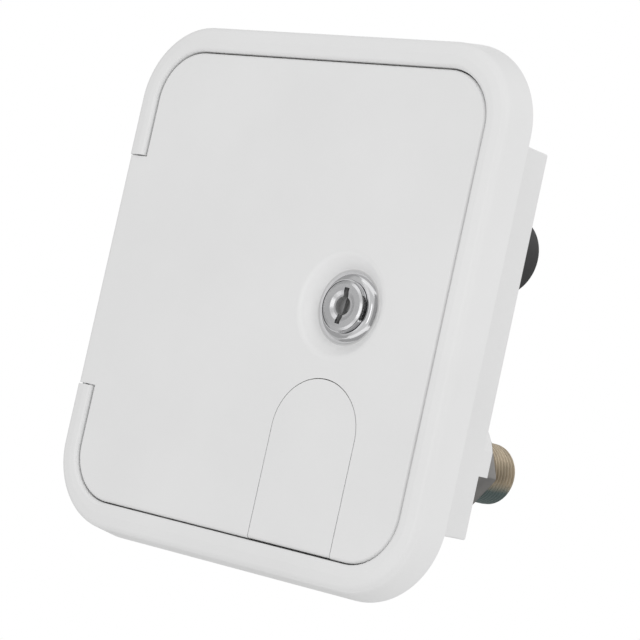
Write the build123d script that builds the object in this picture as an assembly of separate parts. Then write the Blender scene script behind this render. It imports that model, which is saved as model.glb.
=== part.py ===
from build123d import *
import math
import os

# A locking water inlet hatch for a caravan or motorhome wall, in millimetres.
# X runs right, Y runs into the vehicle and Z runs up. The wall face is y = 0, and the
# origin is the centre of the four mounting screws, in the plane of the flange's back.

# How far a cutting shape runs past the face it opens
past = 1.0
# How close two places count as the same one
near = 0.01

# Flange
flange_w = 165.8
flange_h = 182.8
flange_r = 29.0
flange_depth = 11.3
flange_draft = 11.5
crown = 0.8
crown_run = 4.5
crest_r = 2.8
lip_r = 1.3
shell = 2.4
rim_wall = 2.6
rib_t = 1.4
flange_ribs_x = (-50.0, -25.0, 0.0, 25.0, 50.0)
flange_ribs_z = (-60.0, -20.0, 20.0, 60.0)

# Door opening and door
ring_side = 10.0
ring_top = 10.9
opening_r = 18.3
door_gap = 0.55
door_gap_ends = 0.4
door_plate = 2.4
door_skirt = 2.2
skirt_wall = 1.8
door_edge_r = 1.2
door_ribs_x = (-40.0, -10.0)
door_ribs_z = (-50.0, 0.0, 50.0)
rib_set = 0.4

# Ledge, seal and box
ledge_depth = 6.4
ledge_side = 13.4
ledge_top = 14.7
box_r = 0.8
cavity_r = 0.5
box_depth = 42.9
seal_w = 4.0
seal_gap = 0.2
seal_room = 0.2

# Mounting screws
screw_side = 24.9
screw_out = 5.2
screw_hole_r = 2.2
screw_head_r = 3.9
screw_boss_r = 4.8

# Hinge
barrel_r = 2.2
hinge_set = 39.2
hinge_end_gap = 0.4
hinge_pin_r = 1.2
hinge_pin_reach = 9.0
hinge_pin_fit = 0.06
press_room = 0.02

# Hose flap in the door
flap_side = 41.5
flap_half = 17.6
flap_leg = 37.9
flap_gap = 0.3
flap_foot_gap = 0.55
flap_axis_up = 2.65
flap_axis_in = 2.0
flap_knuckle_r = 1.9
flap_pin_r = 0.8
flap_pin_fit = 0.06
flap_ear = 5.0
flap_ear_rise = 0.2
flap_pin_short = 1.0
flap_rib = 1.2
flap_rib_in = 1.0
flap_rib_up = 6.0
flap_tab_half = 5.0

# Lock in its dish
lock_side = 41.55
lock_over_flap = 7.4
dish_r = 17.2
dish_floor_r = 12.9
dish_depth = 4.2
dish_edge_r = 3.0
bezel_r = 12.0
bezel_height = 1.4
bezel_edge = 0.2
bezel_swell = 0.3
bezel_room = 0.2
lock_flange_r = 10.6
lock_flange = 0.5
lock_head_r = 8.8
lock_head_set = 0.8
lock_rim_set = 0.3
lock_head_edge = 0.25
lock_barrel_r = 8.0
lock_barrel_flat = 6.9
lock_barrel_l = 10.3
lock_hole_room = 0.2
lock_nut_af = 22.0
lock_nut_t = 3.0
plug_head_r = 8.2
plug_head_gap = 0.25
plug_head_t = 1.2
plug_bevel_w = 0.9
plug_bevel_t = 0.35
plug_r = 5.95
plug_fit = 0.05
plug_shoulder = 1.0
key_slot_w = 2.0
key_slot_l = 12.2
key_slot_depth = 4.0
key_round_r = 3.1
key_round_depth = 2.5
key_lean = 6.0
dimple_r = 5.1
dimple_floor_r = 3.8
dimple_depth = 0.5
tail_af = 6.0
tail_room = 0.05
cam_reach = 25.0
cam_w = 15.0
cam_tip_w = 11.0
cam_tip_r = 2.0
cam_t = 2.0
cam_screw_r = 1.9
cam_screw_l = 5.6
cam_screw_head_r = 3.6
cam_screw_head_t = 2.2
lock_washer_r = 4.6
lock_washer_t = 0.6
screw_room = 0.2
screw_edge_r = 0.8
driver_slot_w = 0.8
driver_slot_depth = 1.0

# Strike for the cam
strike_reach = 6.5
strike_half = 10.0
strike_t = 4.0
strike_gap = 0.7

# City water inlet
inlet_side = 21.0
inlet_up = 23.7
inlet_thread_r = 10.67
inlet_thread_l = 15.4
inlet_thread_edge = 1.0
inlet_hex_af = 24.0
inlet_hex_lean = -7.0
inlet_hex_l = 18.9
inlet_gasket_t = 1.5
inlet_gasket_r = 15.0
inlet_shank_r = 11.0
wall_hole_room = 0.3
locknut_af = 28.0
locknut_t = 3.8
nose_r = 9.9
nose_flange_r = 12.3
nose_flange_t = 2.2
nose_l = 4.3
nose_reach = 12.9
shroud_r = 22.0
shroud_wall = 6.0
shroud_depth = 4.95
shroud_below = 2.0

# Hose swivel
swivel_r = 16.6
swivel_reach = 13.6
swivel_thread_r = 13.3
swivel_relief_r = 13.6
swivel_lip_t = 2.5
swivel_room = 0.3
swivel_edge = 1.0
swivel_flutes = 12
flute_r = 1.6
flute_out = 0.6
flute_start = 2.0
hose_washer_t = 2.8
hose_washer_r = 12.9
hose_washer_hole = 8.4
strainer_t = 0.6
strainer_hole_r = 0.9
strainer_pitch = 2.9
strainer_rows = 5

# Check valve
valve_bore_r = 6.2
valve_chamber_r = 8.0
valve_set = 7.1
valve_disc_r = 7.4
valve_disc_t = 1.8
valve_seal_t = 1.2
valve_seal_r = 7.2
valve_seal_hole = 4.6
valve_stem_r = 1.6
valve_stem_l = 11.0
valve_travel = 3.0
spring_closed = 4.0
retainer_t = 2.0
retainer_rim = 1.2
retainer_hub_r = 3.0
retainer_arms = 3
retainer_arm_w = 1.6
stem_room = 0.3
spring_r = 4.4
spring_wire_r = 0.4
spring_turns = 4
spring_room = 0.05

# Gravity fill
fill_side = 21.0
fill_down = 33.5
spout_r = 14.15
spout_l = 17.6
spout_root_r = 14.4
spout_root = 0.6
spout_bore_r = 11.6
spout_chamfer = 1.0
fill_flange_w = 36.0
fill_flange_h = 52.0
fill_flange_r = 6.0
fill_flange_t = 2.5
fill_gasket_t = 1.0
fill_neck_r = 14.6
fill_neck_l = 8.0
fill_screw_side = 4.0
fill_screw_top = 5.0
fill_screw_r = 1.6
fill_screw_head_r = 3.0
fill_screw_head_t = 2.0
fill_screw_l = 8.5
fill_screw_slot = 4.0
fill_screw_tip = 1.0
cap_r = 16.8
cap_t = 3.1
cap_edge_r = 1.0
cap_seat_gap = 0.3
cap_plug_r = 11.2
cap_plug_l = 9.0
cap_grip_l = 24.0
cap_grip_w = 5.0
cap_grip_h = 7.0
o_ring_wire_r = 1.0
o_ring_fit = 0.08

# Opening, door and box, worked out from the flange
opening_w = flange_w - 2 * ring_side
opening_h = flange_h - 2 * ring_top
door_w = opening_w - 2 * door_gap
door_h = opening_h - 2 * door_gap_ends
door_r = opening_r - door_gap
box_w = opening_w - 2 * ledge_side
box_h = opening_h - 2 * ledge_top
screw_spacing_x = opening_w - 2 * screw_side
screw_spacing_z = box_h + 2 * screw_out

# Depths
face_y = -flange_depth
clear_front = face_y - crown - past
ledge_y = face_y + ledge_depth
door_back = face_y + door_plate
skirt_back = door_back + door_skirt
dish_floor = face_y + dish_depth
cup_back = dish_floor + shell
back_front = box_depth - shell

# Hinge and flap
front_inset = flange_depth * math.tan(math.radians(flange_draft))
hinge_x = -(flange_w / 2 - front_inset) + barrel_r
hinge_y = face_y + barrel_r
hinge_half = opening_h / 2 - hinge_set
flap_x = door_w / 2 - flap_side
flap_arch_z = -door_h / 2 + flap_leg
flap_axis_z = -door_h / 2 + flap_axis_up
flap_axis_y = face_y + flap_axis_in
flap_gap_half = flap_half + flap_gap
flap_pin_half = flap_gap_half + flap_ear - flap_pin_short

# Lock
lock_x = door_w / 2 - lock_side
lock_z = flap_arch_z + flap_half + lock_over_flap + dish_r
lock_face = face_y + lock_head_set
lock_rim_face = lock_face + lock_rim_set
plug_head_back = lock_face + plug_head_t
lock_barrel_end = dish_floor + lock_barrel_l
plug_end = lock_barrel_end + plug_shoulder
cam_back = plug_end + cam_t

# Fittings
inlet_x = box_w / 2 - inlet_side
inlet_z = -box_h / 2 + inlet_up
nose_front = back_front - nose_reach
swivel_front = nose_front - swivel_reach
hex_front = box_depth + inlet_gasket_t
hex_end = hex_front + inlet_hex_l
valve_seat = box_depth + valve_set
poppet_back = valve_seat + valve_seal_t + valve_disc_t
retainer_front = poppet_back + valve_travel + spring_closed
fill_x = box_w / 2 - fill_side
fill_z = box_h / 2 - fill_down
fill_screw_x = fill_flange_w - 2 * fill_screw_side
fill_screw_z = fill_flange_h - 2 * fill_screw_top
spout_end = box_depth + spout_l


def front_plane(y):
    """A sketch plane seen from the front: its x is X, its y is Z, its normal is -Y."""
    return Plane(origin=(0, y, 0), x_dir=(1, 0, 0), z_dir=(0, -1, 0))


def slab(sketch, front, back):
    """A sketch in X and Z, made solid between two depths."""
    return extrude(front_plane(back) * sketch, amount=back - front)


def tapered(sketch, front, back, angle):
    """A sketch at the back depth, drawn in by a draft angle towards the front."""
    return extrude(front_plane(back) * sketch, amount=back - front, taper=angle)


def turned(points, x, z):
    """A solid of revolution about a line along Y, from radius and depth pairs."""
    profile = make_face(Polyline(*points, close=True))
    return Pos(x, 0, z) * revolve(profile, Axis.Y)


def rod(x, z, r, front, back):
    """A round bar along Y."""
    return slab(Pos(x, z) * Circle(r), front, back)


def cross_rod(y, z, r, left, right):
    """A round bar along X."""
    return extrude(Plane(origin=(left, y, z), z_dir=(1, 0, 0)) * Circle(r), amount=right - left)


def upright_rod(x, y, r, low, high):
    """A round bar along Z."""
    return extrude(Plane(origin=(x, y, low), z_dir=(0, 0, 1)) * Circle(r), amount=high - low)


def block(x0, x1, y0, y1, z0, z1):
    """A box between two corners."""
    return Pos((x0 + x1) / 2, (y0 + y1) / 2, (z0 + z1) / 2) * Box(x1 - x0, y1 - y0, z1 - z0)


def frame_sketch(w, h, r, wall):
    """A rounded rectangular ring, measured on its outside."""
    return RectangleRounded(w, h, r) - RectangleRounded(w - 2 * wall, h - 2 * wall, r - wall)


def edges_at(part, y):
    """The edges that lie wholly at one depth."""
    return part.edges().filter_by_position(Axis.Y, y - near, y + near)


def hexagon(af, lean=0):
    """A hexagon by its width across flats, turned by a lean in degrees."""
    return RegularPolygon(af / 2, 6, major_radius=False, rotation=lean)


def corners(dx, dz, x=0, z=0):
    """The four corners of a rectangle of spacings dx and dz."""
    return [(x + sx * dx / 2, z + sz * dz / 2) for sx in (-1, 1) for sz in (-1, 1)]


# Housing: flange, ledge and box in one moulding
def flange_form():
    base = tapered(RectangleRounded(flange_w, flange_h, flange_r), face_y, 0, flange_draft)
    w = flange_w - 2 * front_inset
    h = flange_h - 2 * front_inset
    r = flange_r - front_inset
    low = front_plane(face_y) * RectangleRounded(w, h, r)
    high = front_plane(face_y - crown) * RectangleRounded(
        w - 2 * crown_run, h - 2 * crown_run, r - crown_run
    )
    form = base + loft([low, high], ruled=True)
    form = fillet(edges_at(form, face_y), crest_r)
    form -= slab(RectangleRounded(opening_w, opening_h, opening_r), clear_front, ledge_y)
    inner = [e for e in edges_at(form, face_y - crown) if abs(e.center().X) < opening_w / 2 + near]
    inner = [e for e in inner if abs(e.center().Z) < opening_h / 2 + near]
    return fillet(inner, lip_r)


def flange_channel():
    """The hollow behind the flange's rim, left solid round the hinge notch."""
    w = flange_w - 2 * rim_wall
    h = flange_h - 2 * rim_wall
    outer = tapered(RectangleRounded(w, h, flange_r - rim_wall), face_y + rim_wall, 0, flange_draft)
    kept = RectangleRounded(opening_w + 2 * shell, opening_h + 2 * shell, opening_r + shell)
    channel = outer - slab(kept, clear_front, past)
    block_half = hinge_half + hinge_pin_reach + shell
    channel -= block(-flange_w, 0, clear_front, ledge_y + shell, -block_half, block_half)
    for z in flange_ribs_z:
        channel -= block(0, flange_w, clear_front, past, z - rib_t / 2, z + rib_t / 2)
    for x in flange_ribs_x:
        channel -= block(x - rib_t / 2, x + rib_t / 2, clear_front, past, -flange_h, flange_h)
    return channel


def inlet_shroud():
    """The half-round shroud on the box's back, over the inlet's hexagon."""
    ring = Circle(shroud_r) - Circle(shroud_r - shroud_wall)
    keep = Pos(0, shroud_r - shroud_below) * Rectangle(4 * shroud_r, 2 * shroud_r)
    half = Pos(inlet_x, inlet_z) * (ring & keep)
    return slab(half & RectangleRounded(box_w, box_h, box_r), box_depth, box_depth + shroud_depth)


def make_housing():
    body = flange_form()
    box = RectangleRounded(box_w, box_h, box_r)
    cavity = RectangleRounded(box_w - 2 * shell, box_h - 2 * shell, cavity_r)
    body -= flange_channel()
    behind_ledge = RectangleRounded(opening_w, opening_h, opening_r) - box
    body -= slab(behind_ledge, ledge_y + shell, past)
    for x, z in corners(screw_spacing_x, screw_spacing_z):
        body += rod(x, z, screw_boss_r, ledge_y, 0)
    body += slab(box, ledge_y, box_depth)
    body -= slab(cavity, ledge_y - past, back_front)
    body += inlet_shroud()

    # Hinge notch and the holes of its two pins
    notch = hinge_half + hinge_end_gap
    body -= block(-flange_w, -opening_w / 2 + past, clear_front, ledge_y, -notch, notch)
    for side in (-1, 1):
        low, high = sorted((side * (notch - past), side * (notch + hinge_pin_reach)))
        body -= upright_rod(hinge_x, hinge_y, hinge_pin_r + press_room, low, high)

    # Mounting holes with countersinks
    sink = screw_head_r - screw_hole_r
    for x, z in corners(screw_spacing_x, screw_spacing_z):
        body -= rod(x, z, screw_hole_r, ledge_y - past, past)
        head = [(0, ledge_y - past), (screw_head_r, ledge_y - past), (screw_head_r, ledge_y)]
        body -= turned(head + [(screw_hole_r, ledge_y + sink), (0, ledge_y + sink)], x, z)

    # Strike for the lock's cam on the right wall
    strike_back = plug_end - strike_gap
    wall_in = box_w / 2 - shell
    body += block(
        wall_in - strike_reach, wall_in + shell / 2, strike_back - strike_t, strike_back,
        lock_z - strike_half, lock_z + strike_half,
    )

    # Holes of the two fittings
    body -= rod(inlet_x, inlet_z, inlet_shank_r + wall_hole_room, back_front - past, box_depth + past)
    body -= rod(fill_x, fill_z, spout_root_r + wall_hole_room, back_front - past, box_depth + past)
    for x, z in corners(fill_screw_x, fill_screw_z, fill_x, fill_z):
        body -= rod(x, z, fill_screw_r + press_room, back_front - past, box_depth + past)
    return body


def make_door_seal():
    """A flat ring on the ledge, centred under the door's skirt and kept off the opening's wall."""
    w = door_w - skirt_wall + seal_w
    h = door_h - skirt_wall + seal_w
    inside = 2 * seal_room
    ring = frame_sketch(w, h, door_r + (seal_w - skirt_wall) / 2, seal_w)
    ring &= RectangleRounded(opening_w - inside, opening_h - inside, opening_r - seal_room)
    return slab(ring, skirt_back + seal_gap, ledge_y)


def make_hinge_pins():
    notch = hinge_half + hinge_end_gap
    pins = []
    for side in (-1, 1):
        low, high = sorted((side * (hinge_half - hinge_pin_reach), side * (notch + hinge_pin_reach)))
        pins.append(upright_rod(hinge_x, hinge_y, hinge_pin_r, low, high))
    return Compound(pins)


# Door
def flap_outline(half, foot):
    """An arch on straight legs, down to the foot's height."""
    height = flap_arch_z - foot
    legs = Pos(flap_x, flap_arch_z - height / 2) * Rectangle(2 * half, height)
    return legs + Pos(flap_x, flap_arch_z) * Circle(half)


def make_door():
    outline = RectangleRounded(door_w, door_h, door_r)
    plate = slab(outline, face_y, door_back)
    plate = fillet(edges_at(plate, face_y), door_edge_r)
    door = plate + slab(frame_sketch(door_w, door_h, door_r, skirt_wall), door_back, skirt_back)

    # Hinge leaf and barrel
    door += block(hinge_x, -door_w / 2 + 2 * skirt_wall, face_y, door_back, -hinge_half, hinge_half)
    door += upright_rod(hinge_x, hinge_y, barrel_r, -hinge_half, hinge_half)

    # Stiffening ribs on the back, clear of the lock and the flap
    rib_back = skirt_back - rib_set
    right = door_w / 2 - past
    top = door_h / 2 - past
    for x in door_ribs_x:
        door += block(x, x + rib_t, door_back, rib_back, -top, top)
    for z in door_ribs_z:
        door += block(-right, door_ribs_x[-1], door_back, rib_back, z, z + rib_t)
    door += block(door_ribs_x[-1], right, door_back, rib_back, door_ribs_z[-1], door_ribs_z[-1] + rib_t)

    # Dish with its cup behind
    rim = dish_r + shell
    cup = [(0, face_y + past), (rim, face_y + past), (rim, door_back)]
    door += turned(cup + [(dish_floor_r + shell, cup_back), (0, cup_back)], lock_x, lock_z)
    dish = [(0, face_y - past), (dish_r, face_y - past), (dish_r, face_y)]
    door -= turned(dish + [(dish_floor_r, dish_floor), (0, dish_floor)], lock_x, lock_z)
    hole = Circle(lock_barrel_r + lock_hole_room) & Rectangle(
        2 * (lock_barrel_flat + lock_hole_room), 4 * lock_barrel_r
    )
    door -= slab(Pos(lock_x, lock_z) * hole, dish_floor - past, cup_back + past)

    # Opening of the hose flap, its surround and the ears for its pin
    foot = -door_h / 2
    surround = flap_outline(flap_gap_half + skirt_wall, foot) & outline
    door += slab(surround, door_back, rib_back)
    door -= slab(flap_outline(flap_gap_half, foot - past), face_y - past, 0)
    for side in (-1, 1):
        inner = flap_x + side * flap_gap_half
        low, high = sorted((inner, inner + side * flap_ear))
        door += block(low, high, door_back, skirt_back, foot + flap_ear_rise, foot + 2 * flap_axis_up)
    pin_hole_r = flap_pin_r + press_room
    door -= cross_rod(flap_axis_y, flap_axis_z, pin_hole_r, flap_x - flap_pin_half, flap_x + flap_pin_half)

    # Bores of the two hinge pins
    for side in (-1, 1):
        low, high = sorted((side * (hinge_half - hinge_pin_reach), side * (hinge_half + past)))
        door -= upright_rod(hinge_x, hinge_y, hinge_pin_r + hinge_pin_fit, low, high)
    rim_edges = [e for e in edges_at(door, face_y) if e.geom_type == GeomType.CIRCLE]
    rim_edges = [e for e in rim_edges if abs(e.radius - dish_r) < near]
    return fillet(rim_edges, dish_edge_r)


def make_hose_flap():
    foot = -opening_h / 2 + flap_foot_gap
    flap = slab(flap_outline(flap_half, foot), face_y, door_back)
    low_front = [e for e in edges_at(flap, face_y) if e.center().Z < foot + near]
    flap = fillet(low_front, door_edge_r)
    outer = flap_outline(flap_half - flap_rib_in, foot + flap_rib_up)
    inner = flap_outline(flap_half - flap_rib_in - flap_rib, foot + flap_rib_up + flap_rib)
    flap += slab(outer - inner, door_back, door_back + flap_rib)
    tab_z = flap_arch_z + flap_half / 2
    flap += block(
        flap_x - flap_tab_half, flap_x + flap_tab_half, door_back, skirt_back, tab_z, tab_z + flap_rib
    )
    flap += cross_rod(flap_axis_y, flap_axis_z, flap_knuckle_r, flap_x - flap_half, flap_x + flap_half)
    bore = flap_half + past
    return flap - cross_rod(
        flap_axis_y, flap_axis_z, flap_pin_r + flap_pin_fit, flap_x - bore, flap_x + bore
    )


def make_flap_pin():
    return cross_rod(flap_axis_y, flap_axis_z, flap_pin_r, flap_x - flap_pin_half, flap_x + flap_pin_half)


# Cam lock
def make_lock_bezel():
    """The dress ring: a low dome that swells from the dish's floor up to the lock's head."""
    top = dish_floor - bezel_height
    under = dish_floor - lock_flange
    hole = lock_head_r + bezel_room
    pocket = lock_flange_r + bezel_room
    foot = dish_floor - bezel_edge
    chord = math.hypot(bezel_r - hole, foot - top)
    lift_r = bezel_swell * (foot - top) / chord
    lift_y = bezel_swell * (bezel_r - hole) / chord
    crest = ((bezel_r + hole) / 2 + lift_r, (foot + top) / 2 - lift_y)
    inside = [(hole, top), (hole, under), (pocket, under), (pocket, dish_floor), (bezel_r, dish_floor)]
    dome = ThreePointArc((bezel_r, foot), crest, (hole, top))
    section = make_face([dome, Polyline(*inside, (bezel_r, foot))])
    return Pos(lock_x, 0, lock_z) * revolve(section, Axis.Y)


def make_lock_body():
    body = rod(lock_x, lock_z, lock_head_r, lock_rim_face, dish_floor)
    body = chamfer(edges_at(body, lock_rim_face), lock_head_edge)
    body += rod(lock_x, lock_z, lock_flange_r, dish_floor - lock_flange, dish_floor)
    barrel = Circle(lock_barrel_r) & Rectangle(2 * lock_barrel_flat, 4 * lock_barrel_r)
    body += slab(Pos(lock_x, lock_z) * barrel, dish_floor, lock_barrel_end)
    body -= rod(lock_x, lock_z, plug_head_r + plug_head_gap, lock_face - past, plug_head_back)
    return body - rod(lock_x, lock_z, plug_r + plug_fit, plug_head_back - past, lock_barrel_end + past)


def make_lock_plug():
    bevel = [(plug_head_r - plug_bevel_w, lock_face), (plug_head_r, lock_face + plug_bevel_t)]
    head = [(0, lock_face)] + bevel + [(plug_head_r, plug_head_back), (0, plug_head_back)]
    plug = turned(head, lock_x, lock_z) + rod(lock_x, lock_z, plug_r, plug_head_back, plug_end)
    plug += slab(Pos(lock_x, lock_z) * Rectangle(tail_af, tail_af), plug_end, cam_back)
    mouth = [(0, lock_face - past), (dimple_r, lock_face - past), (dimple_r, lock_face)]
    dimple_floor = lock_face + dimple_depth
    plug -= turned(mouth + [(dimple_floor_r, dimple_floor), (0, dimple_floor)], lock_x, lock_z)
    plug -= rod(lock_x, lock_z, key_round_r, lock_face - past, lock_face + key_round_depth)
    slot = Pos(lock_x, lock_z) * (Rot(0, 0, -key_lean) * Rectangle(key_slot_w, key_slot_l))
    plug -= slab(slot, lock_face - past, lock_face + key_slot_depth)
    thread_front = cam_back + lock_washer_t - cam_screw_l
    return plug - rod(lock_x, lock_z, cam_screw_r + press_room, thread_front - past, cam_back + past)


def make_lock_cam():
    tip = lock_z - cam_reach
    hub = Pos(lock_x, lock_z) * Circle(cam_w / 2)
    points = [
        (lock_x - cam_w / 2, lock_z), (lock_x + cam_w / 2, lock_z),
        (lock_x + cam_tip_w / 2, tip), (lock_x - cam_tip_w / 2, tip),
    ]
    sketch = hub + make_face(Polyline(*points, close=True))
    hole = Rectangle(tail_af + 2 * tail_room, tail_af + 2 * tail_room)
    cam = slab(sketch - Pos(lock_x, lock_z) * hole, plug_end, cam_back)
    ends = [e for e in cam.edges().filter_by(Axis.Y) if e.center().Z < tip + near]
    return fillet(ends, cam_tip_r)


def make_lock_washer():
    ring = Circle(lock_washer_r) - Circle(cam_screw_r + screw_room)
    return slab(Pos(lock_x, lock_z) * ring, cam_back, cam_back + lock_washer_t)


def make_cam_screw():
    under = cam_back + lock_washer_t
    top = under + cam_screw_head_t
    screw = rod(lock_x, lock_z, cam_screw_r, under - cam_screw_l, under)
    head = rod(lock_x, lock_z, cam_screw_head_r, under, top)
    head = fillet(edges_at(head, top), screw_edge_r)
    slot = Pos(lock_x, lock_z) * Rectangle(2 * cam_screw_head_r, driver_slot_w)
    return screw + head - slab(slot, top - driver_slot_depth, top + past)


def make_lock_nut():
    nut = slab(Pos(lock_x, lock_z) * hexagon(lock_nut_af), cup_back, cup_back + lock_nut_t)
    bore = rod(lock_x, lock_z, lock_barrel_r + press_room, cup_back - past, cup_back + lock_nut_t + past)
    return nut - bore


# City water inlet
def make_inlet_body():
    nose_back = nose_front + nose_flange_t
    shank_front = nose_back + nose_l
    end = hex_end + inlet_thread_l
    body = rod(inlet_x, inlet_z, nose_flange_r, nose_front, nose_back)
    body += rod(inlet_x, inlet_z, nose_r, nose_back, shank_front)
    body += rod(inlet_x, inlet_z, inlet_shank_r, shank_front, hex_front)
    hexagonal = slab(Pos(inlet_x, inlet_z) * hexagon(inlet_hex_af, inlet_hex_lean), hex_front, hex_end)
    thread = rod(inlet_x, inlet_z, inlet_thread_r, hex_end, end)
    body += hexagonal + chamfer(edges_at(thread, end), inlet_thread_edge)
    body -= rod(inlet_x, inlet_z, valve_bore_r, nose_front - past, valve_seat)
    return body - rod(inlet_x, inlet_z, valve_chamber_r, valve_seat, end + past)


def make_inlet_gasket():
    ring = Circle(inlet_gasket_r) - Circle(inlet_shank_r + wall_hole_room)
    return slab(Pos(inlet_x, inlet_z) * ring, box_depth, box_depth + inlet_gasket_t)


def make_inlet_locknut():
    front = back_front - locknut_t
    nut = slab(Pos(inlet_x, inlet_z) * hexagon(locknut_af), front, back_front)
    return nut - rod(inlet_x, inlet_z, inlet_shank_r + press_room, front - past, back_front + past)


def make_swivel_collar():
    lip_front = nose_front + nose_flange_t + swivel_room
    back = lip_front + swivel_lip_t
    relief = nose_front - hose_washer_t
    outside = [
        (swivel_thread_r, swivel_front), (swivel_r, swivel_front),
        (swivel_r, back - swivel_edge), (swivel_r - swivel_edge, back),
    ]
    inside = [
        (nose_r + swivel_room, back), (nose_r + swivel_room, lip_front), (swivel_relief_r, lip_front),
        (swivel_relief_r, relief), (swivel_thread_r, relief),
    ]
    collar = turned(outside + inside, inlet_x, inlet_z)
    for k in range(swivel_flutes):
        angle = 2 * math.pi * k / swivel_flutes
        x = inlet_x + (swivel_r + flute_out) * math.cos(angle)
        z = inlet_z + (swivel_r + flute_out) * math.sin(angle)
        collar -= rod(x, z, flute_r, swivel_front + flute_start, back + past)
    return collar


def make_hose_washer():
    ring = Circle(hose_washer_r) - Circle(hose_washer_hole)
    return slab(Pos(inlet_x, inlet_z) * ring, nose_front - hose_washer_t, nose_front)


def make_strainer():
    """A disc with rows of holes on a hexagonal grid."""
    disc = Circle(hose_washer_hole - press_room)
    middle = strainer_rows // 2
    for row in range(-middle, middle + 1):
        count = strainer_rows - abs(row)
        for k in range(count):
            x = (k - (count - 1) / 2) * strainer_pitch
            z = row * strainer_pitch * math.sin(math.radians(60))
            disc -= Pos(x, z) * Circle(strainer_hole_r)
    return slab(Pos(inlet_x, inlet_z) * disc, nose_front - strainer_t, nose_front)


# Check valve in the inlet
def make_check_seal():
    ring = Circle(valve_seal_r) - Circle(valve_seal_hole)
    return slab(Pos(inlet_x, inlet_z) * ring, valve_seat, valve_seat + valve_seal_t)


def make_check_poppet():
    disc_front = poppet_back - valve_disc_t
    poppet = rod(inlet_x, inlet_z, valve_seal_hole - press_room, valve_seat, disc_front)
    poppet += rod(inlet_x, inlet_z, valve_disc_r, disc_front, poppet_back)
    return poppet + rod(inlet_x, inlet_z, valve_stem_r, poppet_back, poppet_back + valve_stem_l)


def make_spring_retainer():
    ring = Circle(valve_chamber_r - press_room) - Circle(valve_chamber_r - retainer_rim)
    spider = ring + Circle(retainer_hub_r)
    for k in range(retainer_arms):
        arm = Pos(valve_chamber_r / 2, 0) * Rectangle(valve_chamber_r - retainer_rim, retainer_arm_w)
        spider += Rot(0, 0, 360 / retainer_arms * k) * arm
    spider -= Circle(valve_stem_r + stem_room)
    return slab(Pos(inlet_x, inlet_z) * spider, retainer_front, retainer_front + retainer_t)


def make_check_spring():
    low = poppet_back + spring_wire_r + spring_room
    high = retainer_front - spring_wire_r - spring_room
    path = Helix((high - low) / spring_turns, high - low, spring_r)
    section = Plane(origin=path @ 0, z_dir=path % 0) * Circle(spring_wire_r)
    coil = sweep(section, path=path)
    return Pos(inlet_x, low, inlet_z) * (Rot(-90, 0, 0) * coil)


# Gravity fill
def make_fill_spout():
    flange_front = back_front - fill_gasket_t - fill_flange_t
    flange_back = flange_front + fill_flange_t
    plate = RectangleRounded(fill_flange_w, fill_flange_h, fill_flange_r)
    spout = slab(Pos(fill_x, fill_z) * plate, flange_front, flange_back)
    spout += rod(fill_x, fill_z, fill_neck_r, flange_front - fill_neck_l, flange_front)
    tube = rod(fill_x, fill_z, spout_r, flange_back, spout_end)
    spout += chamfer(edges_at(tube, spout_end), spout_chamfer)
    spout += rod(fill_x, fill_z, spout_root_r, flange_back, box_depth + spout_root)
    spout -= rod(fill_x, fill_z, spout_bore_r, flange_front - fill_neck_l - past, spout_end + past)
    for x, z in corners(fill_screw_x, fill_screw_z, fill_x, fill_z):
        spout -= rod(x, z, fill_screw_r + screw_room, flange_front - past, flange_back + past)
    return spout


def make_fill_gasket():
    front = back_front - fill_gasket_t
    plate = RectangleRounded(fill_flange_w, fill_flange_h, fill_flange_r)
    plate -= Circle(spout_root_r + wall_hole_room)
    gasket = slab(Pos(fill_x, fill_z) * plate, front, back_front)
    for x, z in corners(fill_screw_x, fill_screw_z, fill_x, fill_z):
        gasket -= rod(x, z, fill_screw_r + screw_room, front - past, back_front + past)
    return gasket


def make_fill_screws():
    under = back_front - fill_gasket_t - fill_flange_t
    top = under - fill_screw_head_t
    end = under + fill_screw_l
    cross = Rectangle(fill_screw_slot, driver_slot_w) + Rectangle(driver_slot_w, fill_screw_slot)
    screws = []
    for x, z in corners(fill_screw_x, fill_screw_z, fill_x, fill_z):
        head = rod(x, z, fill_screw_head_r, top, under)
        head = fillet(edges_at(head, top), screw_edge_r)
        head -= slab(Pos(x, z) * cross, top - past, top + driver_slot_depth)
        shank = rod(x, z, fill_screw_r, under, end)
        screws.append(head + chamfer(edges_at(shank, end), fill_screw_tip))
    return Compound(screws)


def cap_levels():
    neck_front = back_front - fill_gasket_t - fill_flange_t - fill_neck_l
    back = neck_front - cap_seat_gap
    return back - cap_t, back


def make_fill_cap():
    front, back = cap_levels()
    cap = rod(fill_x, fill_z, cap_r, front, back)
    cap = fillet(edges_at(cap, front), cap_edge_r)
    grip = Pos(fill_x, fill_z) * SlotOverall(cap_grip_l, cap_grip_w)
    cap += slab(grip, front - cap_grip_h, front)
    cap += rod(fill_x, fill_z, cap_plug_r, back, back + cap_plug_l)
    middle = back + cap_plug_l / 2
    groove_r = spout_bore_r - o_ring_fit - 2 * o_ring_wire_r - press_room
    groove = Circle(cap_plug_r + past) - Circle(groove_r)
    return cap - slab(Pos(fill_x, fill_z) * groove, middle - o_ring_wire_r, middle + o_ring_wire_r)


def make_cap_o_ring():
    middle = cap_levels()[1] + cap_plug_l / 2
    ring = Torus(spout_bore_r - o_ring_fit - o_ring_wire_r, o_ring_wire_r)
    return Pos(fill_x, middle, fill_z) * (Rot(90, 0, 0) * ring)


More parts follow.
